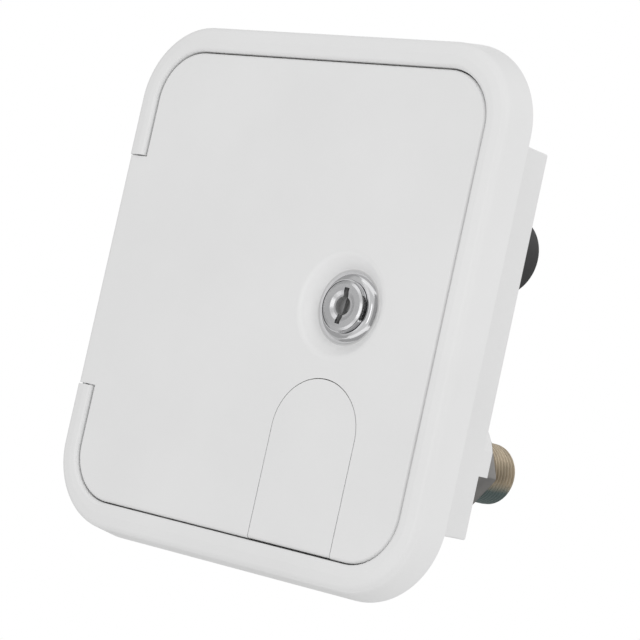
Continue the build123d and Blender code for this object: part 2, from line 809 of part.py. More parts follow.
nodes = {
    "housing": make_housing,
    "door_seal": make_door_seal,
    "hinge_pins": make_hinge_pins,
    "door": make_door,
    "hose_flap": make_hose_flap,
    "flap_pin": make_flap_pin,
    "lock_bezel": make_lock_bezel,
    "lock_body": make_lock_body,
    "lock_nut": make_lock_nut,
    "lock_plug": make_lock_plug,
    "lock_cam": make_lock_cam,
    "lock_washer": make_lock_washer,
    "cam_screw": make_cam_screw,
    "inlet_body": make_inlet_body,
    "inlet_gasket": make_inlet_gasket,
    "inlet_locknut": make_inlet_locknut,
    "swivel_collar": make_swivel_collar,
    "hose_washer": make_hose_washer,
    "strainer": make_strainer,
    "check_seal": make_check_seal,
    "check_poppet": make_check_poppet,
    "check_spring": make_check_spring,
    "spring_retainer": make_spring_retainer,
    "fill_spout": make_fill_spout,
    "fill_gasket": make_fill_gasket,
    "fill_screws": make_fill_screws,
    "fill_cap": make_fill_cap,
    "cap_o_ring": make_cap_o_ring,
}

os.makedirs("parts", exist_ok=True)
for name, make in nodes.items():
    export_step(make(), f"parts/{name}.step")
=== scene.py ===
import math

import bpy
from bpy.props import FloatProperty, FloatVectorProperty, IntProperty, PointerProperty
from bpy.types import Operator, Panel, PropertyGroup
from mathutils import Matrix, Vector


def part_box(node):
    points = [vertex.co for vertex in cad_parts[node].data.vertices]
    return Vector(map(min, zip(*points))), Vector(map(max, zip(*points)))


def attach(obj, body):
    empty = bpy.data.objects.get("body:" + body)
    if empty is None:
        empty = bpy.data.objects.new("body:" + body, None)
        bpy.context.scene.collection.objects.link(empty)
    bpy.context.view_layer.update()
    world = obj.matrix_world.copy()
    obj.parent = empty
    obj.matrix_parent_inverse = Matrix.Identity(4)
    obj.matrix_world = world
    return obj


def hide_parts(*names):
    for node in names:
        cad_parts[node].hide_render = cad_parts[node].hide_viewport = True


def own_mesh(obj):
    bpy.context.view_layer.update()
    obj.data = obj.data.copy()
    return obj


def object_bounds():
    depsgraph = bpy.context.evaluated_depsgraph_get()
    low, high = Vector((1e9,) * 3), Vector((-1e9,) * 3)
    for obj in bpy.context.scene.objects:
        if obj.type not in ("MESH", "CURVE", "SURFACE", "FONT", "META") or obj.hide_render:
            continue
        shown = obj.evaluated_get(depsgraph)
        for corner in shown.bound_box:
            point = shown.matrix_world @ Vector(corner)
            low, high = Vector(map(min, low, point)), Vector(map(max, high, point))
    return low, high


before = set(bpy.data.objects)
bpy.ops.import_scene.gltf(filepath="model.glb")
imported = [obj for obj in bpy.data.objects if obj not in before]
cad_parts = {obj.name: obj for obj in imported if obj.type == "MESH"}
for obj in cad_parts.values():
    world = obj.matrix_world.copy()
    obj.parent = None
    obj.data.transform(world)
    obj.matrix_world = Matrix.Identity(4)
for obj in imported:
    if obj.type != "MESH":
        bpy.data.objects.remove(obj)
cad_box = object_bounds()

bl_info = {
    "name": "Water inlet hatch",
    "version": (1, 0, 0),
    "blender": (4, 5, 0),
    "location": "3D View > Sidebar > Water inlet",
    "description": "Finishes a locking water inlet hatch and builds its threaded brass inlet",
    "category": "Object",
}

# Places read from the CAD frame, in metres
inlet_low, inlet_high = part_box("inlet_body")
gasket_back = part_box("inlet_gasket")[1].y
nose_low, nose_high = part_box("hose_washer")
spring_low, spring_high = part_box("check_spring")
plug_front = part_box("lock_plug")[0].y
bezel_low, bezel_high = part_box("lock_bezel")
inlet_x = (nose_low.x + nose_high.x) / 2
inlet_z = (nose_low.z + nose_high.z) / 2
lock_x = (bezel_low.x + bezel_high.x) / 2
lock_z = (bezel_low.z + bezel_high.z) / 2

# Turned sizes of the brass inlet, in metres
nose_flange_r = 0.0123
nose_flange_t = 0.0022
nose_r = 0.0099
nose_l = 0.0043
shank_r = 0.011
bore_r = 0.0062
chamber_r = 0.008
valve_seat = 0.050
hex_edge = 0.0004
thread_edge = 0.001
# Share of the pitch that the thread's ridge fills at its foot, and share of that left at its crest
ridge_foot_share = 0.96
ridge_crest_share = 0.2
# How far the inlet's shells lap, the least step between them and how close points merge
lap = 0.0005
hair = 0.0001
merge_distance = 0.000001
# Edges that turn by less than this are shaded smooth
smooth_angle = math.radians(35)

# Check valve's spring: its wire's radius in metres, its turns, and its facets along and round the
# wire
spring_wire_r = 0.0004
spring_turns = 4
spring_steps = 48
wire_sides = 12

# Depth of the dimple and the bevel in the lock's plug, behind which a painted shade fades in
plug_face_depth = 0.0007
# The painted shade's dull grey, how far it fades in, and how metallic it leaves the metal
keyway_shade = (0.30, 0.30, 0.30)
keyway_shade_fade = 0.0003
keyway_shade_metallic = 0.2
# Painted dark reflection, blue-green, on the thread's underside: where it starts below
# the inlet's axis, and how it fades in
dark_reflection = (0.17, 0.215, 0.208)
dark_reflection_drop = 0.0015
dark_reflection_fade = 0.0035
dark_reflection_ripple = 0.002
# The door's plastic has painted light in the lock's dish, a paler colour that lifts its shade:
# full to one radius, gone at the next, fading towards the dish's foot, by a share of the colour
painted_light_r = 0.0155
painted_light_edge_r = 0.0185
painted_light_foot = 0.022
painted_light_share = 1.15
# It has a painted contact shadow, a darker line, where it meets the dress ring of the lock
painted_shadow_r = 0.0124
painted_shadow_edge_r = 0.0130
painted_shadow_share = 0.75

# Least and greatest share of its colour that mottle gives plastic, and the greatest on metal
plastic_dark = 0.985
plastic_light = 1.01
metal_light = 1.05
# How far smears swing the roughness to either side, as a share of it
plastic_swing = 0.15
metal_swing = 0.3
plastic_ior = 1.46
# Heights and strengths of the bumps for mould grain, turning rings and scratches, in metres
grain_height = 0.00004
ring_height = 0.00003
ring_strength = 0.25
scratch_height = 0.00002
scratch_strength = 0.1

# Camera, fitted to the hatch's outline
camera_place = (0.50898, -0.57463, -0.05179)
camera_right = (0.7485, 0.6273, 0.2148)
camera_forward = (-0.65144, 0.75619, 0.06166)

# Cards round the set that only gloss reflects: place, target, width, height and level
standing_cards = {
    "left card": ((-1.0, -0.45, 0.1), (0.0, -0.45, 0.1), 2.4, 2.4, 0.42),
    "right card": ((1.2, 0.9, 0.1), (0.0, 0.9, 0.1), 2.4, 2.2, 0.42),
    "dark card": ((1.05, -0.58, 0.35), (0.0, 0.0, 0.35), 0.86, 1.9, 0.03),
    "near card": ((0.73, -1.08, 0.2), (0.0, 0.0, 0.2), 0.6, 1.6, 0.36),
    "front card": ((-0.1, -1.7, 0.1), (0.0, 0.0, 0.0), 1.9, 1.6, 0.68),
    "strip card": ((0.05, -1.6, 0.0), (0.0, 0.0, 0.0), 0.25, 0.7, 1.5),
    "high card": ((0.0, 0.2, 1.2), (0.0, 0.2, 0.0), 2.6, 2.6, 0.5),
}
# Cards that lie just over the floor: x, y, height over it, width, length and level
lying_cards = {
    "low card": (0.1, 1.1, 0.004, 2.4, 1.9, 0.44),
    "low left card": (-0.9, 0.0, 0.004, 1.4, 1.0, 0.6),
    "low right card": (0.72, -0.38, 0.006, 0.6, 0.5, 0.04),
    "low front card": (0.0, -0.22, 0.008, 0.7, 0.4, 0.4),
}
# Soft lights, their diameters and where they point
key_place = (1.25, -0.75, 0.65)
key_size = 1.1
fill_place = (-0.9, -1.2, 0.35)
fill_size = 1.2
light_target = (0.0, 0.01, 0.0)
# Floor, and the radii over which its paper turns to plain white, from a share of it
floor_r = 0.7
floor_sides = 96
floor_grey = 0.9
paper_r = 0.1
white_r = 0.62
white_share = 0.55
# Side of the square film and the nearest distance that the camera shows
film_mm = 36
near_clip = 0.01


# Sizes and colours that a user would change
class HatchColours(PropertyGroup):
    white: FloatVectorProperty(
        name="White plastic", description="Colour of the flange, door and flap",
        default=(0.80, 0.80, 0.80), size=3, min=0, max=1, subtype="COLOR",
    )
    black: FloatVectorProperty(
        name="Black plastic", description="Colour of the fill spout and its cap",
        default=(0.030, 0.030, 0.031), size=3, min=0, max=1, subtype="COLOR",
    )
    brass: FloatVectorProperty(
        name="Brass", description="Colour of the turned thread",
        default=(0.68, 0.57, 0.42), size=3, min=0, max=1, subtype="COLOR",
    )
    nickel: FloatVectorProperty(
        name="Dull plating", description="Colour of the plated flats and shank",
        default=(0.33, 0.32, 0.31), size=3, min=0, max=1, subtype="COLOR",
    )
    chrome: FloatVectorProperty(
        name="Chrome", description="Colour of the lock's plating",
        default=(0.74, 0.74, 0.75), size=3, min=0, max=1, subtype="COLOR",
    )
    steel: FloatVectorProperty(
        name="Steel", description="Colour of pins, screws and cam",
        default=(0.56, 0.57, 0.58), size=3, min=0, max=1, subtype="COLOR",
    )
    rubber: FloatVectorProperty(
        name="Rubber", description="Colour of seals and washers",
        default=(0.035, 0.035, 0.036), size=3, min=0, max=1, subtype="COLOR",
    )
    acetal: FloatVectorProperty(
        name="Valve plastic", description="Colour of the check valve's mouldings",
        default=(0.70, 0.71, 0.68), size=3, min=0, max=1, subtype="COLOR",
    )


class InletSizes(PropertyGroup):
    thread_r: FloatProperty(
        name="Thread radius", description="Radius over the crests of the pipe thread",
        default=0.01067, min=0.005, max=0.02, unit="LENGTH", precision=5,
    )
    thread_depth: FloatProperty(
        name="Thread depth", description="Height of the ridge over its root",
        default=0.00095, min=0.0002, max=0.002, unit="LENGTH", precision=5,
    )
    pitch: FloatProperty(
        name="Pitch", description="Distance from ridge to ridge",
        default=0.001814, min=0.0005, max=0.004, unit="LENGTH", precision=5,
    )
    thread_length: FloatProperty(
        name="Thread length", description="Length of the thread behind the hexagon",
        default=0.0154, min=0.005, max=0.03, unit="LENGTH", precision=5,
    )
    hex_af: FloatProperty(
        name="Across flats", description="Width of the hexagon across its flats",
        default=0.024, min=0.015, max=0.04, unit="LENGTH", precision=5,
    )
    hex_lean: FloatProperty(
        name="Lean", description="Turn of the hexagon about its own axis",
        default=math.radians(-7), subtype="ANGLE",
    )
    sides: IntProperty(
        name="Sides", description="Facets round each turned surface", default=96, min=24, max=256,
    )


class StageSettings(PropertyGroup):
    floor_drop: FloatProperty(
        name="Floor drop", description="How far the floor is below the hatch",
        default=0.26, min=0.0, max=1.0, unit="LENGTH",
    )
    key_power: FloatProperty(
        name="Key light", description="Power of the large soft light on the right",
        default=3.5, min=0, max=100, unit="POWER",
    )
    fill_power: FloatProperty(
        name="Fill light", description="Power of the soft light on the left",
        default=0.6, min=0, max=100, unit="POWER",
    )
    ambient: FloatProperty(
        name="Room light", description="Brightness of the room round the hatch",
        default=0.85, min=0, max=2,
    )
    lens: FloatProperty(
        name="Lens", description="Focal length for a 36 mm square frame",
        default=129.02, min=10, max=500, unit="CAMERA",
    )


# Node helpers
def add_node(tree, kind, **values):
    """A node of a kind, with its properties and its inputs' plain values set."""
    node = tree.nodes.new(kind)
    for key, value in values.items():
        if hasattr(node, key):
            setattr(node, key, value)
        else:
            node.inputs[key.replace("_", " ")].default_value = value
    return node


def new_group(name, inputs, outputs):
    """An empty shader group with named sockets, and its two end nodes."""
    tree = bpy.data.node_groups.new(name, "ShaderNodeTree")
    for label, kind, default in inputs:
        socket = tree.interface.new_socket(name=label, in_out="INPUT", socket_type=kind)
        if default is not None:
            socket.default_value = default
    for label, kind in outputs:
        tree.interface.new_socket(name=label, in_out="OUTPUT", socket_type=kind)
    return tree, tree.nodes.new("NodeGroupInput"), tree.nodes.new("NodeGroupOutput")


def grain_group():
    """Spark grain of a mould: a fine height and a slow mottle for colour."""
    if "Moulded grain" in bpy.data.node_groups:
        return bpy.data.node_groups["Moulded grain"]
    tree, start, end = new_group(
        "Moulded grain",
        [("Vector", "NodeSocketVector", None), ("Grain", "NodeSocketFloat", 1800.0),
         ("Mottle", "NodeSocketFloat", 24.0)],
        [("Height", "NodeSocketFloat"), ("Mottle", "NodeSocketFloat")],
    )
    fine = add_node(tree, "ShaderNodeTexNoise", Detail=3.0, Roughness=0.6)
    slow = add_node(tree, "ShaderNodeTexNoise", Detail=4.0, Roughness=0.55)
    tree.links.new(start.outputs["Vector"], fine.inputs["Vector"])
    tree.links.new(start.outputs["Vector"], slow.inputs["Vector"])
    tree.links.new(start.outputs["Grain"], fine.inputs["Scale"])
    tree.links.new(start.outputs["Mottle"], slow.inputs["Scale"])
    spread = add_node(tree, "ShaderNodeMapRange", From_Min=0.35, From_Max=0.65)
    tree.links.new(slow.outputs["Fac"], spread.inputs["Value"])
    tree.links.new(fine.outputs["Fac"], end.inputs["Height"])
    tree.links.new(spread.outputs["Result"], end.inputs["Mottle"])
    return tree


def wear_group():
    """Scuffs and handling marks: thin broken scratches and cloudy smears."""
    if "Handling marks" in bpy.data.node_groups:
        return bpy.data.node_groups["Handling marks"]
    tree, start, end = new_group(
        "Handling marks",
        [("Vector", "NodeSocketVector", None), ("Scratch", "NodeSocketFloat", 400.0),
         ("Smear", "NodeSocketFloat", 60.0)],
        [("Scratches", "NodeSocketFloat"), ("Smears", "NodeSocketFloat")],
    )
    stretch = add_node(tree, "ShaderNodeMapping", Scale=(1.0, 1.0, 0.12), Rotation=(0.3, 0.5, 0.0))
    thin = add_node(tree, "ShaderNodeTexNoise", Detail=2.0, Roughness=0.5)
    tree.links.new(start.outputs["Vector"], stretch.inputs["Vector"])
    tree.links.new(stretch.outputs["Vector"], thin.inputs["Vector"])
    tree.links.new(start.outputs["Scratch"], thin.inputs["Scale"])
    cut = add_node(tree, "ShaderNodeMapRange", From_Min=0.66, From_Max=0.74)
    tree.links.new(thin.outputs["Fac"], cut.inputs["Value"])
    cloud = add_node(tree, "ShaderNodeTexNoise", Detail=5.0, Roughness=0.6)
    tree.links.new(start.outputs["Vector"], cloud.inputs["Vector"])
    tree.links.new(start.outputs["Smear"], cloud.inputs["Scale"])
    tree.links.new(cut.outputs["Result"], end.inputs["Scratches"])
    tree.links.new(cloud.outputs["Fac"], end.inputs["Smears"])
    return tree


def lathe_group():
    """Marks of the lathe: fine rings round an axis along Y."""
    if "Turning marks" in bpy.data.node_groups:
        return bpy.data.node_groups["Turning marks"]
    tree, start, end = new_group(
        "Turning marks",
        [("Vector", "NodeSocketVector", None), ("Rings", "NodeSocketFloat", 900.0)],
        [("Height", "NodeSocketFloat")],
    )
    wave = add_node(
        tree, "ShaderNodeTexWave", wave_type="BANDS", bands_direction="Y",
        Distortion=0.6, Detail=2.0,
    )
    tree.links.new(start.outputs["Vector"], wave.inputs["Vector"])
    tree.links.new(start.outputs["Rings"], wave.inputs["Scale"])
    tree.links.new(wave.outputs["Fac"], end.inputs["Height"])
    return tree


def place_group(tree, group, vector, **values):
    """A group node fed with a vector, with its own values."""
    node = tree.nodes.new("ShaderNodeGroup")
    node.node_tree = group
    tree.links.new(vector, node.inputs["Vector"])
    for key, value in values.items():
        node.inputs[key].default_value = value
    return node


def bare_material(name):
    """A material with nothing but its output."""
    made = bpy.data.materials.new(name)
    made.use_nodes = True
    tree = made.node_tree
    tree.nodes.clear()
    return made, tree, tree.nodes.new("ShaderNodeOutputMaterial")


def new_material(name):
    """A material with its Principled shader and its Object coordinates."""
    made, tree, output = bare_material(name)
    shader = tree.nodes.new("ShaderNodeBsdfPrincipled")
    tree.links.new(shader.outputs["BSDF"], output.inputs["Surface"])
    coords = tree.nodes.new("ShaderNodeTexCoord")
    return made, tree, shader, coords.outputs["Object"]


def tinted(tree, colour, low, high, mask):
    """A colour that runs from a darker to a lighter share of itself over a mask."""
    mix = add_node(tree, "ShaderNodeMix", data_type="RGBA")
    mix.inputs["A"].default_value = tuple(c * low for c in colour) + (1.0,)
    mix.inputs["B"].default_value = tuple(min(1.0, c * high) for c in colour) + (1.0,)
    tree.links.new(mask, mix.inputs["Factor"])
    return mix.outputs["Result"]


def ramp_along(tree, vector, axis, first, last, ripple=None, reach=0.0):
    """A mask from 0 to 1 between two places on an axis, roughened by a ripple if one is given."""
    split = tree.nodes.new("ShaderNodeSeparateXYZ")
    tree.links.new(vector, split.inputs["Vector"])
    place = split.outputs[axis]
    if ripple is not None:
        shift = add_node(tree, "ShaderNodeMath", operation="MULTIPLY_ADD")
        tree.links.new(ripple, shift.inputs[0])
        shift.inputs[1].default_value = reach
        tree.links.new(place, shift.inputs[2])
        place = shift.outputs[0]
    fade = add_node(tree, "ShaderNodeMapRange", From_Min=first, From_Max=last)
    tree.links.new(place, fade.inputs["Value"])
    return fade.outputs["Result"]


def round_mask(tree, vector, x, z, full, gone):
    """A mask that is 1 up to a radius about an axis along Y and fades to 0 at the next."""
    flat = add_node(tree, "ShaderNodeVectorMath", operation="MULTIPLY")
    flat.inputs[1].default_value = (1, 0, 1)
    tree.links.new(vector, flat.inputs[0])
    reach = add_node(tree, "ShaderNodeVectorMath", operation="DISTANCE")
    reach.inputs[1].default_value = (x, 0, z)
    tree.links.new(flat.outputs["Vector"], reach.inputs[0])
    fade = add_node(
        tree, "ShaderNodeMapRange", interpolation_type="SMOOTHSTEP", From_Min=gone, From_Max=full
    )
    tree.links.new(reach.outputs["Value"], fade.inputs["Value"])
    return fade.outputs["Result"]


def light_painted(tree, shade, light_paint, mask):
    """A colour that turns into another over a mask, for painted light and shade."""
    mix = add_node(tree, "ShaderNodeMix", data_type="RGBA")
    mix.inputs["B"].default_value = tuple(light_paint) + (1.0,)
    tree.links.new(mask, mix.inputs["Factor"])
    tree.links.new(shade, mix.inputs["A"])
    return mix.outputs["Result"]


def painted_dish_light(tree, vector, shade, colour, x, z):
    """A colour with painted light in a round dish, less at its foot, and painted shadow round its
    ring.
    """
    both = add_node(tree, "ShaderNodeMath", operation="MULTIPLY")
    tree.links.new(round_mask(tree, vector, x, z, painted_light_r, painted_light_edge_r), both.inputs[0])
    tree.links.new(ramp_along(tree, vector, "Z", z - painted_light_foot, z + painted_light_r), both.inputs[1])
    # Painted light: the dish is paler, most towards its top, lifting its shade
    shade = light_painted(tree, shade, [share * painted_light_share for share in colour], both.outputs[0])
    # Painted contact shadow: a darker line round the lock's dress ring
    painted_shadow = [share * painted_shadow_share for share in colour]
    return light_painted(tree, shade, painted_shadow, round_mask(tree, vector, x, z, painted_shadow_r, painted_shadow_edge_r))


def spread_value(tree, mask, low, high):
    """A value that runs from low to high over a mask."""
    node = add_node(tree, "ShaderNodeMapRange", To_Min=low, To_Max=high)
    tree.links.new(mask, node.inputs["Value"])
    return node.outputs["Result"]


def worn(tree, smears, roughness, swing):
    """A roughness that smears raise and lower by a share of it."""
    return spread_value(tree, smears, roughness * (1 - swing), roughness * (1 + swing))


def bump(tree, height, strength, distance, shader, below=None):
    """A bump under the shader, laid over another bump where one is given."""
    node = add_node(tree, "ShaderNodeBump", Strength=strength, Distance=distance)
    tree.links.new(height, node.inputs["Height"])
    if below is not None:
        tree.links.new(below, node.inputs["Normal"])
    tree.links.new(node.outputs["Normal"], shader.inputs["Normal"])
    return node.outputs["Normal"]


# Finishes
def plastic(name, colour, roughness, grain, strength, dish=None):
    """Moulded plastic with spark grain, a slight mottle and rubbed patches, and painted light and
    shadow in a dish.
    """
    if name in bpy.data.materials:
        return bpy.data.materials[name]
    made, tree, shader, vector = new_material(name)
    grains = place_group(tree, grain_group(), vector, Grain=grain, Mottle=22.0)
    marks = place_group(tree, wear_group(), vector, Scratch=500.0, Smear=45.0)
    shade = tinted(tree, colour, plastic_dark, plastic_light, grains.outputs["Mottle"])
    # Painted light and a painted contact shadow in the lock's dish, where one is given
    if dish is not None:
        shade = painted_dish_light(tree, vector, shade, colour, *dish)
    tree.links.new(shade, shader.inputs["Base Color"])
    rubbed = worn(tree, marks.outputs["Smears"], roughness, plastic_swing)
    tree.links.new(rubbed, shader.inputs["Roughness"])
    bump(tree, grains.outputs["Height"], strength, grain_height, shader)
    shader.inputs["IOR"].default_value = plastic_ior
    return made


def metal(
    name, colour, roughness, tarnish, rings=0, scratch=300.0, keyway_shade_from=None, dark_reflection_from=None,
):
    """Metal with tarnish in patches, thin scratches and turning rings.

    It carries painted shade behind a depth and a painted dark reflection below a height, where
    they are given.
    """
    if name in bpy.data.materials:
        return bpy.data.materials[name]
    made, tree, shader, vector = new_material(name)
    marks = place_group(tree, wear_group(), vector, Scratch=scratch, Smear=160.0)
    grains = place_group(tree, grain_group(), vector, Grain=1500.0, Mottle=120.0)
    shade = tinted(tree, colour, 1.0 - tarnish, metal_light, grains.outputs["Mottle"])
    shader.inputs["Metallic"].default_value = 1.0
    # Painted shade: a dull dark grey, less metallic, behind a depth
    if keyway_shade_from is not None:
        mask = ramp_along(tree, vector, "Y", keyway_shade_from, keyway_shade_from + keyway_shade_fade)
        shade = light_painted(tree, shade, keyway_shade, mask)
        tree.links.new(spread_value(tree, mask, 1.0, keyway_shade_metallic), shader.inputs["Metallic"])
    # Painted dark reflection: blue-green below a height, its edge rippled
    if dark_reflection_from is not None:
        cloud = marks.outputs["Smears"]
        dark_reflection_full = dark_reflection_from - dark_reflection_fade
        mask = ramp_along(tree, vector, "Z", dark_reflection_from, dark_reflection_full, cloud, dark_reflection_ripple)
        shade = light_painted(tree, shade, dark_reflection, mask)
    tree.links.new(shade, shader.inputs["Base Color"])
    rubbed = worn(tree, marks.outputs["Smears"], roughness, metal_swing)
    tree.links.new(rubbed, shader.inputs["Roughness"])
    below = None
    if rings:
        turned_marks = place_group(tree, lathe_group(), vector, Rings=rings)
        below = bump(tree, turned_marks.outputs["Height"], ring_strength, ring_height, shader)
    bump(tree, marks.outputs["Scratches"], scratch_strength, scratch_height, shader, below)
    return made


def dress(node, finish):
    """Puts a finish on all slots of a CAD node."""
    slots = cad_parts[node].material_slots
    if not slots:
        raise RuntimeError(f"{node} has no material slot")
    for one in slots:
        one.material = finish


# Modelling helpers
def clear_selection():
    """Leaves edit mode and deselects everything."""
    if bpy.context.object and bpy.context.object.mode != "OBJECT":
        bpy.ops.object.mode_set(mode="OBJECT")
    bpy.ops.object.select_all(action="DESELECT")


def settle(piece):
    """Moves a piece's place into its mesh, so that its object sits at the origin."""
    clear_selection()
    piece.select_set(True)
    bpy.context.view_layer.objects.active = piece
    bpy.ops.object.transform_apply(location=True, rotation=True, scale=True)
    return piece


def turned(name, points, x, z, sides):
    """A closed ring about an axis along Y, drawn out loop by loop from radius and depth pairs."""
    clear_selection()
    radius, depth = points[0]
    bpy.ops.mesh.primitive_circle_add(
        vertices=sides, radius=radius, location=(x, depth, z), rotation=(math.pi / 2, 0, 0)
    )
    piece = bpy.context.object
    piece.name = name
    settle(piece)
    bpy.ops.object.mode_set(mode="EDIT")
    bpy.ops.mesh.select_all(action="SELECT")
    for (r0, y0), (r1, y1) in zip(points, points[1:]):
        bpy.ops.mesh.extrude_region_move(TRANSFORM_OT_translate={"value": (0, y1 - y0, 0)})
        bpy.ops.transform.resize(value=(r1 / r0, 1, r1 / r0), center_override=(x, y1, z))
    bpy.ops.mesh.select_all(action="DESELECT")
    bpy.ops.mesh.select_non_manifold()
    bpy.ops.mesh.bridge_edge_loops()
    bpy.ops.mesh.select_all(action="SELECT")
    bpy.ops.mesh.normals_make_consistent(inside=False)
    bpy.ops.object.mode_set(mode="OBJECT")
    return piece


def keep_common(piece, other):
    """Cuts a piece down to what it shares with another, which is used up."""
    clear_selection()
    piece.select_set(True)
    bpy.context.view_layer.objects.active = piece
    cut = piece.modifiers.new("Common", "BOOLEAN")
    cut.operation = "INTERSECT"
    cut.solver = "EXACT"
    cut.object = other
    bpy.ops.object.modifier_apply(modifier=cut.name)
    bpy.data.objects.remove(other)
    if not piece.data.polygons:
        raise RuntimeError(f"{piece.name} came out empty")
    return piece


def joined(name, pieces):
    """Several shells as one piece."""
    clear_selection()
    for piece in pieces:
        piece.select_set(True)
    bpy.context.view_layer.objects.active = pieces[0]
    bpy.ops.object.join()
    pieces[0].name = name
    return pieces[0]


def wind(piece, pitch, turns, steps):
    """Winds a profile about the Y axis of its object."""
    winding = piece.modifiers.new("Wind", "SCREW")
    winding.axis = "Y"
    winding.screw_offset = pitch
    winding.iterations = turns
    winding.steps = steps
    winding.render_steps = steps
    winding.use_merge_vertices = True
    winding.merge_threshold = merge_distance
    bpy.ops.object.modifier_apply(modifier=winding.name)


def hexagonal_shell(sizes, front, back, hole_r, x, z):
    """The fitting's hexagon with its corners turned down at both ends."""
    clear_selection()
    corner_r = sizes.hex_af / 2 / math.cos(math.pi / 6)
    bpy.ops.mesh.primitive_cylinder_add(
        vertices=6, radius=corner_r, depth=back - front, location=(x, (front + back) / 2, z),
        rotation=(math.pi / 2, 0, 0),
    )
    hexagon = settle(bpy.context.object)
    bpy.ops.object.mode_set(mode="EDIT")
    bpy.ops.mesh.select_all(action="SELECT")
    # The first corner stands upright: half a side's turn puts a flat there, and the lean is added
    bpy.ops.transform.rotate(
        value=sizes.hex_lean - math.pi / 6, orient_axis="Y", center_override=(x, 0, z)
    )
    bpy.ops.object.mode_set(mode="OBJECT")
    end_r = corner_r - hex_edge
    envelope = turned(
        "envelope",
        [(hole_r, front), (end_r, front), (corner_r, front + hex_edge),
         (corner_r, back - hex_edge), (end_r, back), (hole_r, back)],
        x, z, sizes.sides,
    )
    return keep_common(hexagon, envelope)


def helical_ridge(sizes, start, end, x, z):
    """The thread's ridge, wound about the inlet's axis and cut to its chamfered outline."""
    clear_selection()
    root_r = sizes.thread_r - sizes.thread_depth
    foot_r = root_r - 2 * hair
    turns = math.ceil((end - start) / sizes.pitch) + 1
    middle = (foot_r + sizes.thread_r) / 2
    bpy.ops.mesh.primitive_plane_add(size=1, location=(x, 0, z))
    ridge = bpy.context.object
    ridge.name = "ridge"
    bpy.ops.object.mode_set(mode="EDIT")
    bpy.ops.mesh.select_all(action="SELECT")
    width = sizes.pitch * ridge_foot_share
    bpy.ops.transform.resize(value=(sizes.thread_r - foot_r, width, 1))
    bpy.ops.transform.translate(value=(middle, start - sizes.pitch, 0))
    bpy.ops.mesh.select_mode(type="VERT")
    bpy.ops.mesh.select_all(action="DESELECT")
    bpy.ops.object.mode_set(mode="OBJECT")
    for vertex in ridge.data.vertices:
        vertex.select = vertex.co.x > middle
    bpy.ops.object.mode_set(mode="EDIT")
    bpy.ops.transform.resize(value=(1, ridge_crest_share, 1))
    bpy.ops.mesh.select_all(action="SELECT")
    bpy.ops.mesh.delete(type="ONLY_FACE")
    bpy.ops.object.mode_set(mode="OBJECT")
    wind(ridge, sizes.pitch, turns, sizes.sides)
    bpy.ops.object.mode_set(mode="EDIT")
    bpy.ops.mesh.select_all(action="DESELECT")
    bpy.ops.mesh.select_non_manifold()
    bpy.ops.mesh.edge_face_add()
    bpy.ops.mesh.select_all(action="SELECT")
    bpy.ops.mesh.normals_make_consistent(inside=False)
    bpy.ops.object.mode_set(mode="OBJECT")
    settle(ridge)
    inside_r = foot_r - thread_edge
    outside_r = sizes.thread_r + hair
    envelope = turned(
        "envelope",
        [(inside_r, start), (outside_r, start), (outside_r, end - thread_edge),
         (sizes.thread_r - thread_edge, end), (inside_r, end)],
        x, z, sizes.sides,
    )
    return keep_common(ridge, envelope)


def coil_spring(name, low, high, mean_r, wire_r, turns, x, z):
    """A round wire wound about an axis along Y, with closed ends."""
    clear_selection()
    bpy.ops.mesh.primitive_circle_add(vertices=wire_sides, radius=wire_r, location=(x, 0, z))
    piece = bpy.context.object
    piece.name = name
    bpy.ops.object.mode_set(mode="EDIT")
    bpy.ops.mesh.select_all(action="SELECT")
    bpy.ops.transform.translate(value=(mean_r, low + wire_r, 0))
    bpy.ops.object.mode_set(mode="OBJECT")
    wind(piece, (high - low - 2 * wire_r) / turns, turns, spring_steps)
    bpy.ops.object.mode_set(mode="EDIT")
    bpy.ops.mesh.select_all(action="SELECT")
    bpy.ops.mesh.fill_holes(sides=0)
    bpy.ops.mesh.select_all(action="SELECT")
    bpy.ops.mesh.normals_make_consistent(inside=False)
    bpy.ops.object.mode_set(mode="OBJECT")
    bpy.ops.object.shade_smooth_by_angle(angle=smooth_angle)
    return settle(piece)


# Pieces
class HATCH_OT_white_mouldings(Operator):
    """Finish the housing, the door and the hose flap as white moulded plastic"""
    bl_idname = "hatch.white_mouldings"
    bl_label = "White mouldings"

    def execute(self, context):
        colours = context.scene.hatch_colours
        feel = {"roughness": 0.36, "grain": 1600.0, "strength": 0.12}
        finish = plastic("White moulded plastic", colours.white, **feel)
        for node in ("housing", "hose_flap"):
            dress(node, finish)
        # The door carries painted light in its dish and a painted contact shadow round the lock
        dished = plastic(
            "White plastic with painted light in its dish", colours.white, **feel, dish=(lock_x, lock_z)
        )
        dress("door", dished)
        return {"FINISHED"}


class HATCH_OT_lock(Operator):
    """Finish the lock's chrome and the steel parts behind it"""
    bl_idname = "hatch.lock"
    bl_label = "Lock"

    def execute(self, context):
        colours = context.scene.hatch_colours
        bright = metal("Polished chrome", colours.chrome, roughness=0.10, tarnish=0.03)
        # Behind the plug's dimple its keyway gets painted shade
        keyway_shade_start = plug_front + plug_face_depth
        satin = metal(
            "Satin chrome", colours.chrome, roughness=0.2, tarnish=0.06, scratch=900.0,
            keyway_shade_from=keyway_shade_start,
        )
        zinc = metal("Zinc plated steel", colours.steel, roughness=0.34, tarnish=0.12)
        dress("lock_bezel", bright)
        dress("lock_body", bright)
        dress("lock_plug", satin)
        for node in ("lock_nut", "lock_cam", "lock_washer", "cam_screw"):
            dress(node, zinc)
        return {"FINISHED"}


